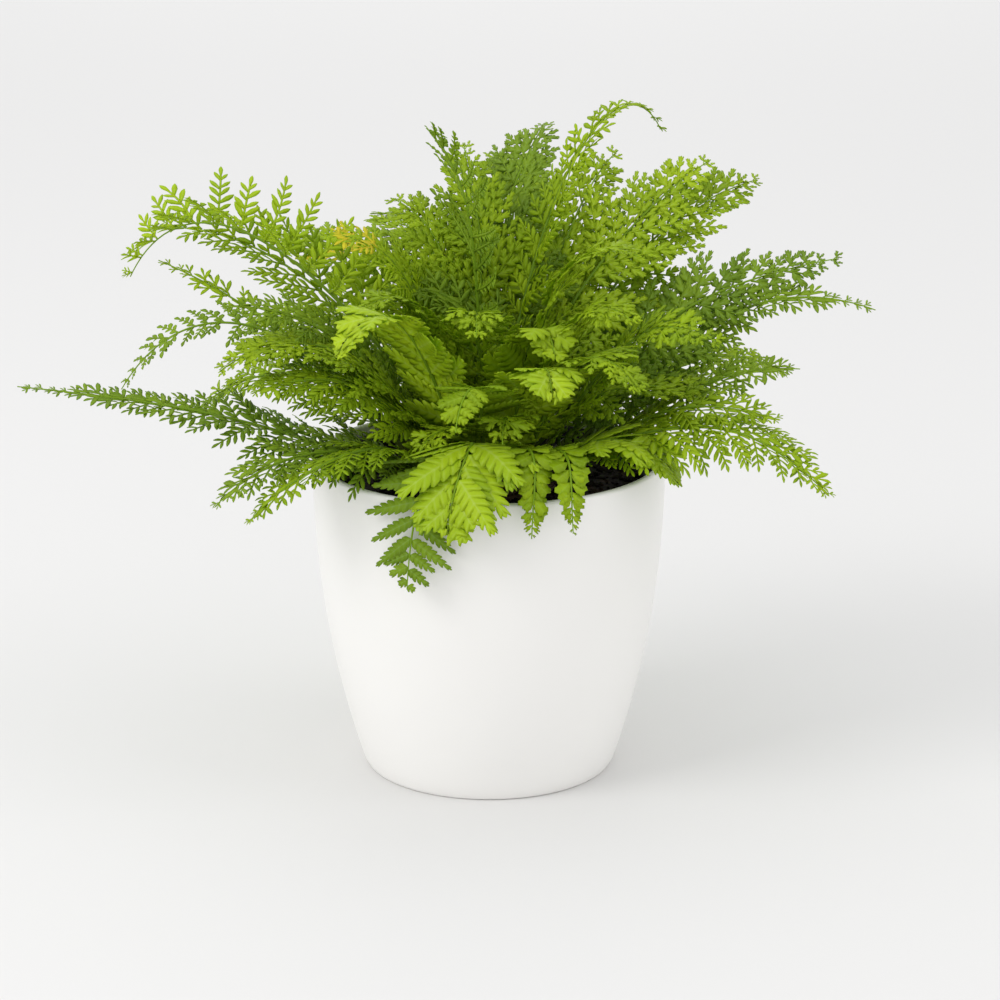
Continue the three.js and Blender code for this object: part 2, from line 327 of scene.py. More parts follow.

# %% [markdown]
# ## Earthy finishes
# Potting mix is crumbs of peat with paler bark and fibres, so its colour changes from grain to grain.
# The crown's scales are brown, streaked darker and paler.

# %% Mix the earthy finishes
def earth():
    paint = Paint("potting mix", 0.95)
    place = paint.place()
    grains = paint.noise(place, 420, 4)
    bark = paint.noise(place, 90, 3).above(0.58, 0.06)
    paint.shader.inputs["Specular IOR Level"].default_value = 0.2
    paint.bump(grains, 0.6, 0.001)
    dark = paint.mix(grains, (0.003, 0.002, 0.0015, 1), (0.02, 0.014, 0.009, 1))
    return paint.finish(paint.mix(bark, dark, (0.045, 0.028, 0.015, 1)))


def scales():
    paint = Paint("brown scales", 0.8)
    place = paint.place()
    streaks = paint.noise(place, 260, 4)
    paint.bump(streaks, 0.4, 0.0006)
    return paint.finish(paint.mix(streaks, (0.03, 0.016, 0.008, 1), (0.14, 0.08, 0.04, 1)))


EARTH = earth()
SCALES = scales()
print("earthy finishes:", EARTH.name, "and", SCALES.name)

# %% [markdown]
# ## Leaf finish
# A frond's green is never even. Four things change it: each leaflet's own tint, soft blotches, fine
# streaks, and paler veins. The tint and the veins are kept as attributes on a leaflet's points, so they
# stay in place however it bends. A tint past the usual range means a leaflet that has faded to yellow.
# Thin leaves also let light through: a Translucent shader makes up a fixed share of each.

# %% Mix the leaf finishes
GLOW = 0.30
FADED_TINT = 2
FADED_YELLOW = (0.80, 0.68, 0.03, 1)


def leaf(name, dark, bright, vein, glow):
    paint = Paint(name, 0.42)
    tint = paint.add("ShaderNodeAttribute", {"attribute_name": "tint"}, output="Fac")
    across = paint.add("ShaderNodeAttribute", {"attribute_name": "across"}, output="Fac")
    place = paint.place()
    streaks = paint.noise(place, 700, 3)
    blotch = paint.noise(place, 55, 2)
    tone = (tint * 0.75 + blotch * 0.35 + streaks * 0.2 - 0.15).clipped()
    green = paint.mix(tone, dark, bright)
    rib = paint.add("ShaderNodeAttribute", {"attribute_name": "rib"}, output="Fac")
    ribs = (1 - across.above(0.0, 0.16)) * 0.4 + rib.above(0.72, 0.3) * 0.22
    colour = paint.mix(ribs, green, vein)
    colour = paint.mix(tint.above(FADED_TINT - 0.5, 0.2), colour, FADED_YELLOW)
    paint.shader.inputs["Specular IOR Level"].default_value = 0.22
    paint.bump(streaks - across * 0.8, 0.25, 0.0004)
    paint.finish(colour, 0.42 + 0.2 * blotch)
    shine = paint.add("ShaderNodeBsdfTranslucent", {}, Color=glow)
    both = paint.add("ShaderNodeMixShader", {}, GLOW, Field(paint, paint.shader.outputs[0]), shine)
    paint.feed(paint.tree.nodes["Material Output"].inputs["Surface"], both)
    return paint.material


# The three finishes are one leaf in three greens. The pale green is partly young growth and partly
# painted highlight, given to fronds that catch the light. The deep green is partly old growth and partly
# painted shade, given to fronds that sit in shade.
LEAF_FINISH = {
    "leaf_light": leaf(
        "young leaf with painted highlight", dark=(0.22, 0.38, 0.004, 1), bright=(0.55, 0.72, 0.015, 1),
        vein=(0.56, 0.70, 0.16, 1), glow=(0.52, 0.74, 0.01, 1)),
    "leaf_mid": leaf(
        "green leaf", dark=(0.105, 0.21, 0.001, 1), bright=(0.46, 0.63, 0.008, 1),
        vein=(0.38, 0.53, 0.07, 1), glow=(0.45, 0.68, 0.01, 1)),
    "leaf_deep": leaf(
        "old leaf with painted shade", dark=(0.07, 0.155, 0.004, 1), bright=(0.33, 0.49, 0.02, 1),
        vein=(0.30, 0.45, 0.12, 1), glow=(0.30, 0.52, 0.02, 1)),
}
print("leaf finishes:", sorted(LEAF_FINISH))

# %% [markdown]
# ## Stalk finish
# A stalk is brown and dry where it leaves the crown, then green, and young and pale at its tip. An
# attribute that counts from 0 at the foot to 1 at the tip mixes the three. The model's record says
# which finish each node has.

# %% Mix the stalk finish
DRY_BROWN = (0.05, 0.03, 0.012, 1)
YOUNG_GREEN = (0.19, 0.32, 0.008, 1)


def stalk_finish():
    paint = Paint("green stalk", 0.5)
    paint.shader.inputs["Specular IOR Level"].default_value = 0.2
    along = paint.add("ShaderNodeAttribute", {"attribute_name": "along"}, output="Fac")
    fleck = paint.noise(paint.place(), 500, 3)
    paint.bump(fleck, 0.3, 0.0004)
    green = paint.mix(fleck, (0.05, 0.11, 0.004, 1), (0.12, 0.21, 0.008, 1))
    grown = paint.mix(along.above(0.02, 0.2), DRY_BROWN, green)
    return paint.finish(paint.mix(along, grown, YOUNG_GREEN))


STALK_FINISH = stalk_finish()
SLOT_OF = {part["node"]: part["material_slot"] for part in frame["record"]["subparts"]}
print("stalk finish:", STALK_FINISH.name, "slots of", len(SLOT_OF), "nodes")

# %% [markdown]
# ## Cover pot
# A pot is turned: here a circle is filled, then extruded upward ring by ring, each ring resized to the
# wall's curve, over the round lip and down the inside. The curve leaves the base slanting out and
# turns upright towards the rim. Many thin rings keep the outline smooth from every side.

# %% Turn the cover pot
POT_SIDES = 128


def turn(name, profile, sides):
    """Extrudes a filled circle through [radius, height] rings, then closes the last ring."""
    first_radius, first_height = profile[0]
    bpy.ops.object.select_all(action="DESELECT")
    bpy.ops.mesh.primitive_circle_add(vertices=sides, radius=first_radius, fill_type="NGON",
                                      location=(0, 0, first_height))
    body = new_from_last(name)
    bpy.ops.object.transform_apply(location=True)
    bpy.ops.object.mode_set(mode="EDIT")
    bpy.ops.mesh.select_all(action="SELECT")
    radius, height = first_radius, first_height
    for next_radius, next_height in profile[1:]:
        bpy.ops.mesh.extrude_region_move(
            TRANSFORM_OT_translate={"value": (0, 0, next_height - height)})
        scale = next_radius / radius
        bpy.ops.transform.resize(value=(scale, scale, 1), center_override=(0, 0, next_height))
        radius, height = next_radius, next_height
    bpy.ops.mesh.select_all(action="SELECT")
    bpy.ops.mesh.normals_make_consistent(inside=False)
    bpy.ops.object.mode_set(mode="OBJECT")
    bpy.ops.object.shade_smooth_by_angle(angle=math.radians(35))
    return body


def arc(centre_radius, centre_height, radius, start, end, steps):
    """Points round a corner of the profile, from one angle to another, in degrees."""
    angles = [math.radians(start + (end - start) * step / steps) for step in range(steps + 1)]
    return [(centre_radius + radius * math.cos(a), centre_height + radius * math.sin(a)) for a in angles]


BASE_RADIUS = 50 * MM
POT_WALL = 3 * MM
WALL_CURVE = 2.13
FOOT_ROUND = 1.6 * MM
FOOT_TOP = FOOT_ROUND * 1.6
LIP_ROUND = POT_WALL / 2
WALL_STEPS = 30


def pot_radius(height):
    return BASE_RADIUS + (RIM_RADIUS - BASE_RADIUS) * (1 - (1 - height / RIM_HEIGHT) ** WALL_CURVE)


wall_heights = [FOOT_TOP + (RIM_HEIGHT - LIP_ROUND - FOOT_TOP) * step / WALL_STEPS
                for step in range(WALL_STEPS + 1)]
cover_pot = turn("cover_pot_shell", [
    *arc(BASE_RADIUS - FOOT_ROUND, FOOT_ROUND, FOOT_ROUND, -90, -20, 6),
    *[(pot_radius(height), height) for height in wall_heights],
    *arc(RIM_RADIUS - LIP_ROUND, RIM_HEIGHT - LIP_ROUND, LIP_ROUND, 20, 160, 8),
    *[(pot_radius(height) - POT_WALL, height) for height in reversed(wall_heights[1:])],
    (BASE_RADIUS - POT_WALL - FOOT_ROUND, POT_WALL),
], POT_SIDES)
cover_pot.data.materials.append(WHITE_PLASTIC)
print("cover pot:", len(cover_pot.data.polygons), "faces")

# %% [markdown]
# ## Grow pot
# The black pot inside is thin, with a stepped collar and a rolled lip at the top. It is turned the same
# way. Only its collar and inner wall show, above the soil.

# %% Turn the grow pot
GROW_WALL = 1.3 * MM
COLLAR = 9 * MM
COLLAR_STEP = 2 * MM
GROW_TAPER = 20 * MM
GROW_SIDES = 96
grow_top_radius = grow_high.x - COLLAR_STEP
grow_foot_radius = grow_top_radius - GROW_TAPER
collar_foot = grow_high.z - COLLAR


def grow_radius(height):
    share = (height - grow_low.z) / (collar_foot - grow_low.z)
    return grow_foot_radius + (grow_top_radius - grow_foot_radius) * share


grow_pot = turn("grow_pot_shell", [
    (grow_foot_radius, grow_low.z),
    (grow_top_radius, collar_foot),
    (grow_high.x, collar_foot),
    (grow_high.x, grow_high.z - 0.5 * MM),
    *arc(grow_high.x - GROW_WALL / 2, grow_high.z - GROW_WALL / 2, GROW_WALL / 2, 0, 180, 6),
    (grow_high.x - GROW_WALL, collar_foot + GROW_WALL),
    (grow_radius(collar_foot) - GROW_WALL, collar_foot + GROW_WALL),
    (grow_foot_radius - GROW_WALL, grow_low.z + GROW_WALL),
], GROW_SIDES)
grow_pot.data.materials.append(BLACK_PLASTIC)
print("grow pot:", len(grow_pot.data.polygons), "faces")

# %% [markdown]
# ## Potting mix
# The soil is a turned plug that fills the grow pot. Its top is turned from many rings, so that a
# Displace modifier can roughen it. More than a thousand crumbs of bark and peat, copied from three
# rough lumps of a few faces each, are then strewn over it.

# %% Fill the grow pot
MIX_GAP = 0.4 * MM
MIX_RINGS = 24
mix_top_radius = mix_high.x
mix_edge = crown_low.z - 2.2 * MM


def mix_height(share):
    """Height of the soil's low mound, at a share of its radius."""
    return mix_edge + (mix_high.z - mix_edge) * (1 - share * share)


soil = turn("potting_mix_fill", [
    (grow_foot_radius - GROW_WALL - MIX_GAP, mix_low.z),
    (mix_top_radius, mix_edge),
    *[(mix_top_radius * share, mix_height(share))
      for share in [1 - step / MIX_RINGS for step in range(1, MIX_RINGS)]],
], POT_SIDES)
soil.data.materials.append(EARTH)
only(soil)
roughness = soil.modifiers.new("lumps", "DISPLACE")
lumps = bpy.data.textures.new("lumps", "CLOUDS")
lumps.noise_scale = 5 * MM
roughness.texture = lumps
roughness.texture_coords = "LOCAL"
roughness.strength = 1.4 * MM
roughness.mid_level = 0.6
top_group = soil.vertex_groups.new(name="top")
inner_radius = mix_top_radius - 1.5 * MM
top_group.add([point.index for point in soil.data.vertices
               if point.co.z > mix_edge - 0.1 * MM and math.hypot(point.co.x, point.co.y) < inner_radius],
              1, "REPLACE")
roughness.vertex_group = "top"
bpy.ops.object.modifier_apply(modifier="lumps")
print("soil:", len(soil.data.polygons), "faces")


# %% Strew the crumbs
CRUMBS = 1300
CRUMB_SIZES = [0.5, 0.7, 0.9, 1.3, 2.0]


def rough_lump(name, seed, stretch):
    bpy.ops.object.select_all(action="DESELECT")
    bpy.ops.mesh.primitive_ico_sphere_add(subdivisions=1, radius=1)
    lump = new_from_last(name)
    bpy.ops.object.mode_set(mode="EDIT")
    bpy.ops.transform.vertex_random(offset=0.28, seed=seed)
    bpy.ops.transform.resize(value=stretch)
    bpy.ops.object.mode_set(mode="OBJECT")
    return lump


def crumb_place(rng):
    radius = mix_top_radius * math.sqrt(rng.uniform(0.0, 0.94))
    angle = rng.uniform(0, 2 * math.pi)
    height = mix_height(radius / mix_top_radius)
    size = rng.choice(CRUMB_SIZES) * MM * rng.uniform(0.7, 1.2)
    spin = Matrix.Rotation(rng.uniform(0, 6.3), 4, "Z")
    tip = Matrix.Rotation(rng.uniform(-0.6, 0.6), 4, "X")
    place = Matrix.Translation((radius * math.cos(angle), radius * math.sin(angle), height + size * 0.2))
    return place @ spin @ tip @ Matrix.Scale(size, 4)


lump_shapes = [
    rough_lump("lump_a", 1, (1, 0.8, 0.6)),
    rough_lump("lump_b", 2, (1.7, 0.7, 0.35)),
    rough_lump("lump_c", 3, (0.8, 0.8, 0.7)),
]
crumbs = scattered("potting_mix_crumbs", lump_shapes, CRUMBS, random.Random(3), crumb_place)
crumbs.data.materials.append(EARTH)
for lump in lump_shapes:
    bpy.data.objects.remove(lump)
print("crumbs:", len(crumbs.data.polygons), "faces")

# %% [markdown]
# ## Crown
# All stalks rise from one short woody mound, clothed in dry brown scales. The bare mound is turned
# here. Its scales are laid on further down, when there is a helper that draws blades.

# %% Turn the crown
CROWN_RINGS = 16
CROWN_SIDES = 64
SCALE_DEPTH = 0.6 * MM
crown_radii = [crown_high.x * (1 - step / CROWN_RINGS) for step in range(CROWN_RINGS + 1)]
crown_core = turn("crown_mound", [
    (crown_high.x * 0.5, crown_low.z),
    *[(max(radius, 0.3 * MM), crown_height(radius) - SCALE_DEPTH) for radius in crown_radii],
], CROWN_SIDES)
crown_core.data.materials.append(SCALES)
print("crown mound:", len(crown_core.data.polygons), "faces")

# %% [markdown]
# ## Drawing a blade
# A leaf blade starts as a flat grid. Its rows are slid along the midvein and stretched to the outline,
# and the points off the midvein are pushed forward, which turns a wavy edge into leaning teeth. The
# grid's own place across is kept as an attribute, so that the finish knows where the midvein is. The
# rows wait far to the left, out of the way of those that are already in place.

# %% Blade helper
FAR = -10
# How near a point must be to its row's place: exactly there, then looser once part of the row has slid.
EXACT = 1e-5
SLID = 0.01


def blade(name, rows, columns=2, thickness=0.22):
    """rows: [along, half width, forward, rise, rib] in millimetres; columns: faces across."""
    bpy.ops.object.select_all(action="DESELECT")
    bpy.ops.mesh.primitive_grid_add(x_subdivisions=len(rows) - 1, y_subdivisions=columns, size=2)
    sheet = new_from_last(name)
    mesh = sheet.data
    start = [-1 + 2 * number / (len(rows) - 1) for number in range(len(rows))]
    across = mesh.attributes.new("across", "FLOAT", "POINT")
    rib = mesh.attributes.new("rib", "FLOAT", "POINT")
    for point in mesh.vertices:
        row = round((point.co.x + 1) / 2 * (len(rows) - 1))
        across.data[point.index].value = abs(point.co.y)
        rib.data[point.index].value = rows[row][4]
    mesh.transform(Matrix.Translation((FAR, 0, 0)))
    for x, (along, half, forward, rise, _) in zip(start, rows):
        at = FAR + x
        pick(sheet, lambda co: abs(co.x - at) < EXACT)
        bpy.ops.transform.resize(value=(1, half * MM, 1), center_override=(at, 0, 0))
        pick(sheet, lambda co: abs(co.x - at) < EXACT and abs(co.y) > half * MM * 0.3)
        bpy.ops.transform.translate(value=(forward * MM / 2, 0, rise * MM / 2))
        pick(sheet, lambda co: abs(co.x - at) < SLID and abs(co.y) > half * MM * 0.75)
        bpy.ops.transform.translate(value=(forward * MM / 2, 0, rise * MM / 2))
        pick(sheet, lambda co: abs(co.x - at) < SLID)
        bpy.ops.transform.translate(value=(along * MM - at, 0, 0))
    bpy.ops.object.mode_set(mode="OBJECT")
    only(sheet)
    wall = sheet.modifiers.new("wall", "SOLIDIFY")
    wall.thickness = thickness * MM
    wall.offset = 0
    bpy.ops.object.modifier_apply(modifier="wall")
    bpy.ops.object.shade_smooth()
    return sheet


# %% [markdown]
# ## Lobes and leaflets
# A frond is twice divided: side leaflets stand along its midrib, and each is cut into lobes. Eight kinds
# of leaflet are drawn here, each in several lengths. Five are sprigs: a thin stalk with small blades,
# spoon-shaped in the fine, tail, comb and sprig kinds and three-toothed in the fan kind. The toothed,
# broad and round kinds are single blades with a cut edge and a raised rib in every lobe.

# %% Sprig helpers
LOBE_ROWS = [(0, 0.42, 0, 0, 0), (1.8, 0.8, 0, 0.2, 0), (3.8, 1.08, 0, 0.35, 0),
             (5.4, 0.78, 0, 0.1, 0), (6.6, 0.16, 0, -0.3, 0)]
lobe = blade("lobe", LOBE_ROWS)
LOBE_PITCH = 3.5


def sprig_leaflet(name, part, pitch, pairs, rng, upper=1, lower=1):
    """A thin stem with this many pairs of small blades and one at its end."""
    length = pitch * (pairs + 0.4)
    steps = [length * step / 6 for step in range(7)]
    stem = blade("leaflet_stem", [(along, 0.42 - 0.2 * along / length, 0, -0.15, 0) for along in steps],
                 thickness=0.4)
    pieces = [stem]
    for number in range(pairs):
        share = (number + 0.5) / pairs
        size = min(1, 0.8 + share) * (1 - 0.45 * share * share)
        for side in (1, -1):
            foot = (pitch * (number + 0.5 + side * 0.12) + rng.uniform(-0.3, 0.3)) * MM
            turn_out = math.radians(side * (47 - 13 * share + rng.uniform(-9, 9)))
            tilt = math.radians(rng.uniform(-24, 24))
            scale = size * rng.uniform(0.84, 1.14) * (upper if side > 0 else lower)
            pieces.append(copy_of(part, Matrix.Scale(scale, 4), Matrix.Rotation(tilt, 4, "X"),
                                  Matrix.Rotation(turn_out, 4, "Z"), Matrix.Translation((foot, 0, 0))))
    pieces.append(copy_of(part, Matrix.Scale(0.62, 4), Matrix.Translation(((length - 0.8) * MM, 0, 0))))
    return joined("%s_%d" % (name, pairs), pieces)


# %% Cut blade helpers
TOOTHED_PITCH = 2.6
BROAD_PITCH = 3.9
ROUND_PITCH = 2.2


def cut_rows(length, half, lobes, depth, forward, pucker, taper):
    """Rows of a blade with this many lobes a side, each a notch, a shoulder, a tip and a shoulder."""
    rows = []
    pitch = length / (lobes + 0.6)
    for number in range(lobes):
        share = (number + 0.5) / (lobes + 0.3)
        wide = half * min(1, 0.6 + 1.6 * share) * (1 - share ** taper) + 0.35
        along = pitch * number
        rows += [(along, wide * (1 - depth) if number else 0.3, forward * 0.1, -pucker, 0),
                 (along + pitch * 0.22, wide * (1 - depth * 0.3), forward * 0.5, -pucker * 0.2, 0.35),
                 (along + pitch * 0.5, wide, forward, pucker * 0.4, 1),
                 (along + pitch * 0.75, wide * (1 - depth * 0.35), forward * 0.95, 0, 0.35)]
    rows += [(pitch * lobes, wide * (1 - depth), 0, -pucker, 0),
             (pitch * (lobes + 0.35), wide * 0.45, 0, 0, 0.5),
             (length, 0.2, 0, 0, 1)]
    return rows


def toothed_leaflet(lobes):
    return blade("toothed_%d" % lobes, cut_rows(TOOTHED_PITCH * lobes, 2.7, lobes, 0.5, 1.5, 0.25, 2.2))


def broad_leaflet(lobes):
    return blade("broad_%d" % lobes, cut_rows(BROAD_PITCH * lobes, 6.6, lobes, 0.48, 3.4, 0.4, 2.6), 4)


def round_leaflet(lobes):
    length = ROUND_PITCH * lobes
    return blade("round_%d" % lobes, [
        (0, 0.25, 0, 0, 0), (length * 0.25, length * 0.2, 0, 0.1, 0.4),
        (length * 0.5, length * 0.4, 0.3, 0.2, 1), (length * 0.62, length * 0.36, 0.9, -0.1, 0),
        (length * 0.72, length * 0.42, 1.2, 0.2, 1), (length * 0.84, length * 0.3, 1.3, -0.1, 0),
        (length * 0.92, length * 0.25, 1.2, 0.1, 1), (length, 0.3, 0, 0, 0)])


# %% Draw every kind of leaflet
shape_rng = random.Random(11)
FAN_PITCH = 5.0
COMB_PITCH = 3.0
comb_lobe = blade("comb_lobe", [(along * 0.85, half * 1.4, forward, rise, rib)
                               for along, half, forward, rise, rib in LOBE_ROWS])
trident = blade("trident", cut_rows(7.8, 2.1, 2, 0.62, 2.5, 0.2, 2.0))


def sprigs(name, part, pitch, pairs, upper=1, lower=1):
    return {number: sprig_leaflet(name, part, pitch, number, shape_rng, upper, lower) for number in pairs}


SHAPES = {
    "fine": sprigs("fine", lobe, LOBE_PITCH, range(1, 8)),
    "fan": sprigs("fan", trident, FAN_PITCH, range(1, 7)),
    "tail": sprigs("tail", lobe, LOBE_PITCH, range(1, 8)),
    "comb": sprigs("comb", comb_lobe, COMB_PITCH, range(2, 11), 0.8, 0.6),
    "sprig": sprigs("sprig", lobe, LOBE_PITCH, range(2, 8)),
    "toothed": {lobes: toothed_leaflet(lobes) for lobes in range(2, 8)},
    "broad": {lobes: broad_leaflet(lobes) for lobes in range(2, 8)},
    "round": {lobes: round_leaflet(lobes) for lobes in range(1, 5)},
}
# Length of one lobe, distance between leaflets, both in millimetres, and a leaflet's lean in degrees.
LOBE_LENGTH = {"fine": LOBE_PITCH, "tail": LOBE_PITCH, "sprig": LOBE_PITCH, "fan": FAN_PITCH,
               "comb": COMB_PITCH, "toothed": TOOTHED_PITCH, "broad": BROAD_PITCH, "round": ROUND_PITCH}
SPACING = {"fine": 8.0, "tail": 7.5, "sprig": 15, "fan": 9.0,
           "comb": 8.6, "toothed": 6.4, "broad": 8.6, "round": 4.6}
LEAN = {"comb": 76, "sprig": 104, "toothed": 76, "round": 68}
USUAL_LEAN = 60
LEAN_LOST_BY_TIP = 26
for kind, sizes in SHAPES.items():
    print(kind, {size: len(shape.data.polygons) for size, shape in sizes.items()})

# %% [markdown]
# ## Stalk
# Each frond hangs on one stalk that runs on as its midrib. A thin tube is drawn once, one unit long,
# with many rings. A copy is stretched to each frond's length and thinned towards the tip.

# %% Draw the stalk
STALK_RINGS = 56
STALK_SIDES = 8
STALK_RADIUS = 1.15 * MM
TIP_RADIUS = 0.22 * MM
stalk = turn("stalk", [(1, step / STALK_RINGS) for step in range(STALK_RINGS + 1)], STALK_SIDES)
print("stalk:", len(stalk.data.polygons), "faces")

# %% [markdown]
# ## Fronds: where each one grows
# The fronds spring from the crown in three whorls, the outer ones low and arching, the inner ones
# steep, and a few more fill the gaps. Every row is one frond: the ring and direction of its foot, where
# its tip ends beyond the rim and above it, the angles at which it leaves and arrives, and its width,
# kind and the lift of its leaflets. Lengths are in millimetres and angles in degrees.

# %% Frond table
# ring, foot azimuth, tip azimuth, beyond rim, above rim, foot angle, tip angle, arch,
# half width, roll, bare share, kind, spacing (0 is the usual one), lift
FRONDS = [
    (24, 205, 189, 114, 36, 24, 8, .38, 30, -20, .08, "tail", 0, 0),
    (24, 186, 184, 74, 31, 58, -60, .5, 15, -20, .15, "comb", 0, 0),
    (24, 222, 211, 51, -3, 38, -38, .42, 25, -15, .1, "fine", 0, 0),
    (24, 237, 219, 45, -7, 46, -50, .45, 21, 0, .12, "fine", 0, 0),
    (24, 242, 249, 10, -31, 58, -84, 1, 28, 0, .2, "toothed", 9, 0),
    (24, 266, 261, 16, -6, 60, -62, .85, 28, 8, .17, "broad", 0, -8),
    (24, 285, 283, 10, -10, 58, -84, .85, 10, 0, .18, "round", 0, 0),
    (24, 301, 293.5, 15, -10, 56, -80, .8, 10, 0, .18, "round", 0, 0),
    (24, 318, 326, 16, 2, 48, -62, .55, 22, 0, .18, "broad", 0, 0),
    (24, 332, 335, 73, 3, 44, -36, .38, 31, 15, .16, "fine", 0, 0),
    (24, 348, 341, 48, 26, 36, -12, .38, 23, 25, .16, "fine", 0, 0),
    (24, 2, 352, 52, 38, 34, 2, .38, 21, 30, .16, "fine", 0, 0),
    (24, 14, 4, 83, 57.5, 40, -24, .38, 31, 30, .15, "tail", 0, 0),
    (24, 32, 26, 66, 16, 40, -34, .38, 25, 25, .16, "fine", 0, 0),
    (24, 52, 48, 70, 30, 44, -30, .38, 25, 20, .16, "fine", 0, 0),
    (24, 72, 70, 60, -4, 46, -50, .42, 26, 0, .16, "fine", 0, 0),
    (24, 92, 96, 72, 24, 42, -30, .38, 26, 0, .16, "fine", 0, 0),
    (24, 112, 118, 58, -8, 44, -48, .42, 26, 0, .16, "fine", 0, 0),
    (24, 132, 138, 70, 28, 44, -34, .38, 25, -20, .16, "fine", 0, 0),
    (24, 152, 158, 58, 8, 40, -40, .4, 23, -25, .16, "fine", 0, 0),
    (24, 170, 173, 62, 76, 40, 22, .38, 9, -30, .4, "fine", 0, 0),
    (16, 6, 8, 70, 75, 52, 4, .38, 27, 45, .1, "fan", 11, 0),
    (16, 30, 29, 53, 99, 60, 10, .38, 36, 35, .17, "fan", 11, 0),
    (16, 54, 56, 48, 62, 58, -14, .38, 32, 20, .16, "fan", 0, 0),
    (16, 78, 84, 42, 100, 64, -14, .38, 34, 0, .16, "fan", 0, 0),
    (16, 102, 112, 46, 74, 60, -16, .38, 34, 0, .16, "fan", 0, 0),
    (16, 126, 136, 50, 72, 60, -12, .38, 30, -20, .17, "fan", 0, 0),
    (16, 150, 160, 74, 80, 57, -6, .38, 28, -40, .17, "fine", 11, 30),
    (16, 172, 168, 76, 66, 70, -62, .44, 28, -20, .17, "sprig", 14, 54),
    (16, 196, 196, 34, 66, 52, -4, .38, 22, -35, .16, "fine", 0, 0),
    (16, 220, 209, 31, 39, 50, -14, .38, 29, -25, .1, "fine", 7, 0),
    (16, 244, 230, 16, 57, 62, -50, .5, 22, 0, .17, "broad", 0, 0),
    (16, 268, 262, 4, 28, 60, -60, .6, 20, 0, .17, "toothed", 0, 0),
    (16, 292, 290, 2, 40, 64, -50, .5, 22, 0, .17, "broad", 0, 0),
    (16, 316, 311, 14, 42, 60, -45, .5, 24, 0, .18, "fan", 0, 0),
    (16, 340, 334, 30, 56, 50, -30, .42, 18, 30, .16, "fan", 0, 0),
    (8, 40, 48, 10, 110, 70, 24, .38, 28, 40, .17, "fan", 11, 0),
    (8, 12, 31, 34, 107, 72, 20, .38, 32, 40, .17, "fan", 11, 0),
    (8, 345, 340, -8, 84, 74, -25, .42, 26, 0, .18, "fan", 0, 0),
    (8, 80, 73, 2, 120, 76, 10, .38, 30, 0, .18, "fan", 0, 0),
    (8, 215, 215, -10, 66, 72, -35, .45, 25, 0, .17, "fan", 0, 0),
    (8, 270, 262, -22, 58, 74, -45, .5, 24, 0, .17, "fan", 0, 0),
    (8, 150, 135, -18, 96, 76, 20, .38, 30, -20, .18, "fan", 0, 0),
    (2.5, 225, 202, -44, 133, 86, 50, .3, 36, 0, .3, "comb", 9, 12),
    (2.5, 330, 33, 10, 123, 84, -62, .38, 17, 0, .2, "fine", 0, 10),
    (24, 229, 227, -20, -3, 30, -6, .38, 8, 0, .15, "round", 0, 0),
    (24, 310, 309, -21, -3, 32, -10, .38, 6, 0, .15, "round", 0, 0),
    (12, 328, 186, -30, 66, 74, -10, .45, 17, -40, .2, "fine", 6.5, 10),
    (12, 304, 296, -14, 52, 62, -50, .5, 19, 0, .2, "broad", 0, 0),
    (12, 256, 246, -10, 14, 54, -50, .5, 17, 0, .2, "fan", 0, 0),
    (12, 280, 277, -8, 20, 54, -50, .5, 18, 0, .2, "fan", 0, 0),
    (12, 208, 202, 40, 45, 52, -34, .42, 26, -15, .12, "fan", 6.5, 0),
    (8, 182, 192, -4, 92, 68, 6, .4, 24, -30, .2, "fine", 0, 0),
    (12, 340, 322, -2, 62, 66, -34, .42, 24, 15, .2, "fan", 0, 0),
    (12, 352, 350, 20, 26, 52, -30, .42, 22, 15, .2, "fan", 0, 0),
    (8, 115, 100, -24, 117, 78, 30, .38, 26, 0, .2, "fan", 0, 0),
]

# %% [markdown]
# ## Fronds: the midrib's line
# A midrib leaves the crown steeply and bends over under its own weight. One smooth curve with four
# control points gives that. It is measured along its length, and every step carries three directions:
# along, sideways and out of the upper face. A Curve modifier would flip where a stalk passes the
# vertical, so here the leaf's points are carried by these directions instead.

# %% Midrib helpers
FOOT_SHARE = 0.42
FOOT_GAP = 0.3 * MM
SWAY = 4.5 * MM
LINE_POINTS = 241


def heading(azimuth, angle=0):
    """The direction, one unit long, at this azimuth and this angle above level."""
    azimuth = math.radians(azimuth)
    angle = math.radians(angle)
    level = math.cos(angle)
    return np.array([level * math.cos(azimuth), level * math.sin(azimuth), math.sin(angle)])


def midrib(ring, foot_azimuth, tip_azimuth, beyond, rise, foot_angle, tip_angle, arch):
    """The points of one midrib, and the level direction across it."""
    foot = heading(foot_azimuth) * ring * MM
    foot[2] = crown_height(ring * MM) + FOOT_GAP
    tip = heading(tip_azimuth) * (RIM_RADIUS + beyond * MM)
    tip[2] = RIM_HEIGHT + rise * MM
    span = np.linalg.norm(tip - foot)
    second = foot + heading(foot_azimuth, foot_angle) * FOOT_SHARE * span
    third = tip - heading(tip_azimuth, tip_angle) * arch * span
    t = np.linspace(0, 1, LINE_POINTS)[:, None]
    line = ((1 - t) ** 3 * foot + 3 * (1 - t) ** 2 * t * second
            + 3 * (1 - t) * t * t * third + t ** 3 * tip)
    travel = (tip - foot)[:2] / np.linalg.norm((tip - foot)[:2])
    return line, np.array([-travel[1], travel[0], 0.0])


def sway(points, side, rng):
    """Adds the slow wander of a living stalk: none at its foot, and growing towards its tip."""
    share = np.linspace(0, 1, len(points))[:, None]
    swing = np.sin(share * rng.uniform(5, 8) + rng.uniform(0, 6.3))
    lift = np.sin(share * rng.uniform(5, 9) + rng.uniform(0, 6.3))
    grown = share * (1 - share * 0.5) * SWAY
    return points + grown * (swing * side + lift * np.array([0, 0, 0.6]))


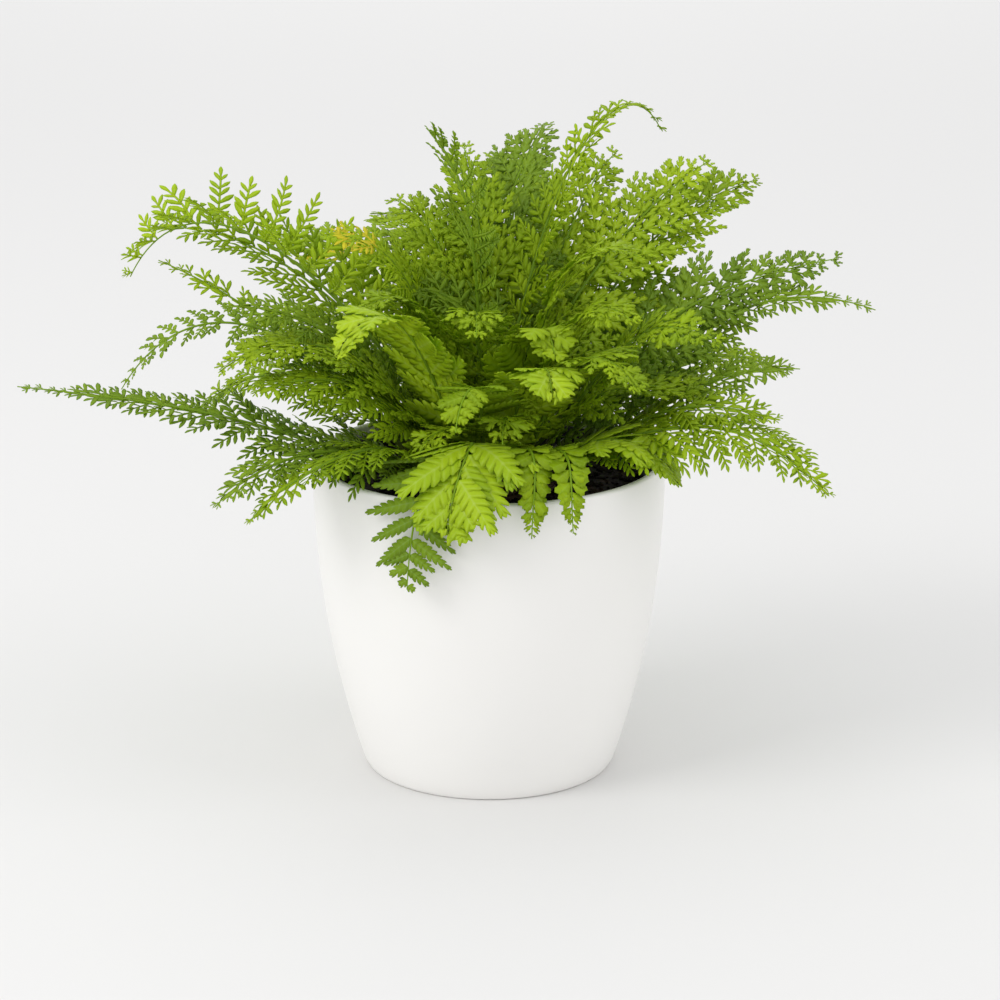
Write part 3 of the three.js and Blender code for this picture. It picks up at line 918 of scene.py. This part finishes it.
class Line:
    """A curve that answers for any distance along it: place, along, sideways, upper face."""

    def __init__(self, points, side, roll):
        self.points = points
        steps = np.linalg.norm(np.diff(points, axis=0), axis=1)
        self.measure = np.concatenate([[0], np.cumsum(steps)])
        self.length = self.measure[-1]
        along = np.gradient(points, self.measure, axis=0)
        self.along = along / np.linalg.norm(along, axis=1)[:, None]
        sideways = side - self.along * (self.along @ side)[:, None]
        sideways = sideways / np.linalg.norm(sideways, axis=1)[:, None]
        turned = np.radians(roll) * np.clip(self.measure / self.length * 2.5, 0, 1)[:, None]
        self.side = sideways * np.cos(turned) + np.cross(self.along, sideways) * np.sin(turned)

    def at(self, table, distance):
        return np.stack([np.interp(distance, self.measure, table[:, axis]) for axis in range(3)], axis=1)

    def carry(self, flat):
        """Points given flat (along, sideways, up) are carried to the curve."""
        distance = flat[:, 0]
        along = self.at(self.along, distance)
        side = self.at(self.side, distance)
        face = np.cross(along, side)
        past = distance - np.clip(distance, 0, self.length)
        return (self.at(self.points, distance) + along * past[:, None]
                + side * flat[:, 1:2] + face * flat[:, 2:3])


# %% [markdown]
# ## Fronds: laying out and bending
# A frond is laid out flat first, in pairs of leaflets that shrink to the tip, with the two sides
# mirrored. Flat is also when its map is drawn: upper side in one half, under side in the other. Then
# leaflets are lifted and drooped a little, each by its own amount, and the whole is bent along the line.

# %% Map and attribute helpers
MAP_HALF = 26 * MM
MAP_PAST_TIP = 8 * MM


def points_of(mesh):
    flat = np.empty(len(mesh.vertices) * 3)
    mesh.vertices.foreach_get("co", flat)
    return flat.reshape(-1, 3)


def draw_map(mesh, length):
    """The flat layout as a map: upper faces in the lower half, under faces in the upper half."""
    corners = np.empty(len(mesh.loops), dtype=np.int32)
    mesh.loops.foreach_get("vertex_index", corners)
    place = points_of(mesh)[corners]
    under = np.zeros(len(mesh.loops))
    for face in mesh.polygons:
        if face.normal.z < 0:
            under[face.loop_start:face.loop_start + face.loop_total] = 0.5
    u = 0.01 + 0.96 * np.clip(place[:, 0] / (length + MAP_PAST_TIP), 0, 1)
    v = 0.01 + 0.48 * np.clip(place[:, 1] / (2 * MAP_HALF) + 0.5, 0, 1) + under
    layer = mesh.uv_layers.new(name="OFBake")
    layer.data.foreach_set("uv", np.stack([u, v], axis=1).ravel())


def set_value(mesh, name, value):
    layer = mesh.attributes.get(name) or mesh.attributes.new(name, "FLOAT", "POINT")
    layer.data.foreach_set("value", np.full(len(mesh.vertices), value, dtype=np.float32))


# %% Lay out one leaflet
# Millimetres: leaflets whose foot is near one of these places have faded to yellow.
FADED_PLACES = [(-54, -12.8, 218), (-43.5, -11, 213.4), (-56, 58.8, 195.5)]
FADED_REACH = 2.6 * MM


def has_faded(place):
    return any(np.linalg.norm(place - np.array(spot) * MM) < FADED_REACH for spot in FADED_PLACES)


def outline(share, kind):
    """How wide a frond is along its blade: the finer kinds run out in a tail, the others stay full."""
    taper = (1 - share ** 2) ** 0.8
    if kind in ("fine", "fan"):
        taper = (1 - share ** 1.35) ** 1.05
    if kind == "sprig":
        taper = (1 - share ** 3) ** 0.8
    if kind == "tail":
        taper = (1 - share) ** 1.4
    return min(1, 0.55 + 2 * share) * taper


def lean_of(kind, share):
    """How far a leaflet stands off the midrib: less and less towards the tip."""
    return math.radians(LEAN.get(kind, USUAL_LEAN) - LEAN_LOST_BY_TIP * share)


def lay_leaflet(line, kind, side, share, place, reach, tint, lift, rng):
    """One flat leaflet on one side of the midrib, mapped and tinted, then lifted and drooped."""
    wanted = reach * rng.uniform(0.8, 1.12)
    sizes = SHAPES[kind]
    lobes = round(wanted / MM / LOBE_LENGTH[kind] - 0.3)
    lobes = max(min(lobes, max(sizes)), min(sizes))
    scale = wanted / (LOBE_LENGTH[kind] * (lobes + 0.5) * MM)
    scale = max(min(scale, 1.25), 0.45)
    foot = place + rng.uniform(-0.9, 0.9) * MM + (0.7 * MM if side > 0 else 0)
    angle = lean_of(kind, share) + math.radians(rng.uniform(-10, 10))
    mirror = Matrix.Scale(side, 4, (0, 1, 0))
    leaflet = copy_of(sizes[lobes], mirror @ Matrix.Translation((foot, 0.3 * MM, 0))
                      @ Matrix.Rotation(angle, 4, "Z") @ Matrix.Scale(scale, 4))
    mesh = leaflet.data
    draw_map(mesh, line.length)
    tint += rng.uniform(-0.22, 0.22) + 0.25 * share
    at = line.at(line.points, np.array([foot]))[0]
    set_value(mesh, "tint", FADED_TINT if has_faded(at) else tint)
    flat = points_of(mesh)
    out = np.abs(flat[:, 1])
    rise = math.radians(lift + rng.uniform(-9, 13))
    droop = rng.uniform(2.0, 9.0)
    twist = math.tan(math.radians(rng.uniform(-6, 16)))
    height = flat[:, 2] + (flat[:, 0] - foot) * twist * 0.5 - droop * out * out
    flat[:, 0] += rng.uniform(-2, 9) * out * out
    flat[:, 1] = side * (out * math.cos(rise) - height * math.sin(rise))
    flat[:, 2] = out * math.sin(rise) + height * math.cos(rise)
    mesh.vertices.foreach_set("co", flat.ravel())
    return leaflet


# %% Lay out one frond
FROND_SEED = 500
BARE_TIP = 1.5 * MM


def lay_rib(length, tint):
    """The stalk and midrib, still flat, thinned towards the tip."""
    rib = copy_of(stalk)
    tube = points_of(rib.data)
    share = tube[:, 2].copy()
    thick = STALK_RADIUS + (TIP_RADIUS - STALK_RADIUS) * share ** 0.8
    flat = np.stack([share * length, tube[:, 1] * thick, -tube[:, 0] * thick], axis=1)
    rib.data.vertices.foreach_set("co", flat.ravel())
    draw_map(rib.data, length)
    set_value(rib.data, "tint", tint)
    set_value(rib.data, "across", 0)
    set_value(rib.data, "rib", 0)
    along = rib.data.attributes.new("along", "FLOAT", "POINT")
    along.data.foreach_set("value", share.astype(np.float32))
    rib.data.materials.append(STALK_FINISH)
    return rib


def build_frond(number, row):
    *shape_of_line, half, roll, bare, kind, spacing, lift = row
    rng = random.Random(FROND_SEED + number)
    points, across = midrib(*shape_of_line)
    line = Line(sway(points, across, rng), across, roll)
    length = line.length
    spacing = (spacing or SPACING[kind]) * MM
    tint = 0.5 + rng.uniform(-0.18, 0.18)
    leaf_start = bare * length
    place = leaf_start
    pieces = []
    while place < length - BARE_TIP:
        share = (place - leaf_start) / (length - leaf_start)
        reach = half * MM * outline(share, kind) / math.sin(lean_of(kind, share))
        for side in (1, -1):
            pieces.append(lay_leaflet(line, kind, side, share, place, reach, tint, lift, rng))
        place += spacing * (1 - 0.45 * share) * rng.uniform(0.93, 1.07)
    leaflets = joined("leaflets", pieces)
    # The record gives each frond its green: the pale one holds painted highlight and the deep one painted
    # shade.
    leaflets.data.materials.append(LEAF_FINISH[SLOT_OF["frond_%02d" % number]])
    frond = joined("frond_%02d_leaf" % number, [leaflets, lay_rib(length, tint)])
    frond.data.vertices.foreach_set("co", line.carry(points_of(frond.data)).ravel())
    frond.data.update()
    return frond


# %% Build every frond
fronds = {number: build_frond(number, row) for number, row in enumerate(FRONDS, 1)}
face_counts = [len(frond.data.polygons) for frond in fronds.values()]
print("fronds:", len(fronds), "faces:", sum(face_counts), "largest:", max(face_counts))

# %% [markdown]
# ## Crown scales
# Each scale is a short pointed blade. A few hundred copies stand all over the mound, each with its own
# size and lean outward, so the mound reads as a furry brown rootstock.

# %% Clothe the crown
SCALE_COUNT = 260
SCALE_ROWS = [(0, 0.9, 0, 0, 0), (1.5, 1.1, 0, 0.1, 0), (3.2, 0.6, 0, -0.1, 0), (4.6, 0.1, 0, 0, 0)]
scale_shape = blade("scale", SCALE_ROWS, thickness=0.3)


def scale_place(rng):
    radius = (crown_high.x - 1.5 * MM) * math.sqrt(rng.uniform(0, 1))
    angle = rng.uniform(0, 2 * math.pi)
    size = rng.uniform(0.6, 1.1)
    stand = math.radians(rng.uniform(-45, -5))
    return (Matrix.Translation((radius * math.cos(angle), radius * math.sin(angle),
                                crown_height(radius) - 1.0 * MM))
            @ Matrix.Rotation(angle + rng.uniform(-0.5, 0.5), 4, "Z") @ Matrix.Rotation(stand, 4, "Y")
            @ Matrix.Scale(size, 4))


crown_scales = scattered("crown_scales", [scale_shape], SCALE_COUNT, random.Random(9), scale_place)
crown_scales.data.materials.append(SCALES)
print("crown scales:", len(crown_scales.data.polygons), "faces")

# %% [markdown]
# ## Clearing up and joining to the frame
# The shapes that were copied are removed. Then each piece is hung on the one body, and the imported node
# it replaces is hidden.

# %% Clear up
leaflet_shapes = [shape for sizes in SHAPES.values() for shape in sizes.values()]
spare_shapes = [scale_shape, stalk, lobe, comb_lobe, trident] + leaflet_shapes
for shape in spare_shapes:
    bpy.data.objects.remove(shape)
print("removed", len(spare_shapes), "spare shapes")


# %% Join to the frame
def stands_for(piece, node):
    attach(piece, "root")
    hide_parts(node)


stands_for(cover_pot, "cover_pot")
stands_for(grow_pot, "grow_pot")
stands_for(soil, "potting_mix")
stands_for(crumbs, "potting_mix")
stands_for(crown_core, "crown")
stands_for(crown_scales, "crown")
for number, frond in fronds.items():
    stands_for(frond, "frond_%02d" % number)
print("fronds joined:", len(fronds))

# %% Update the scene
bpy.context.view_layer.update()
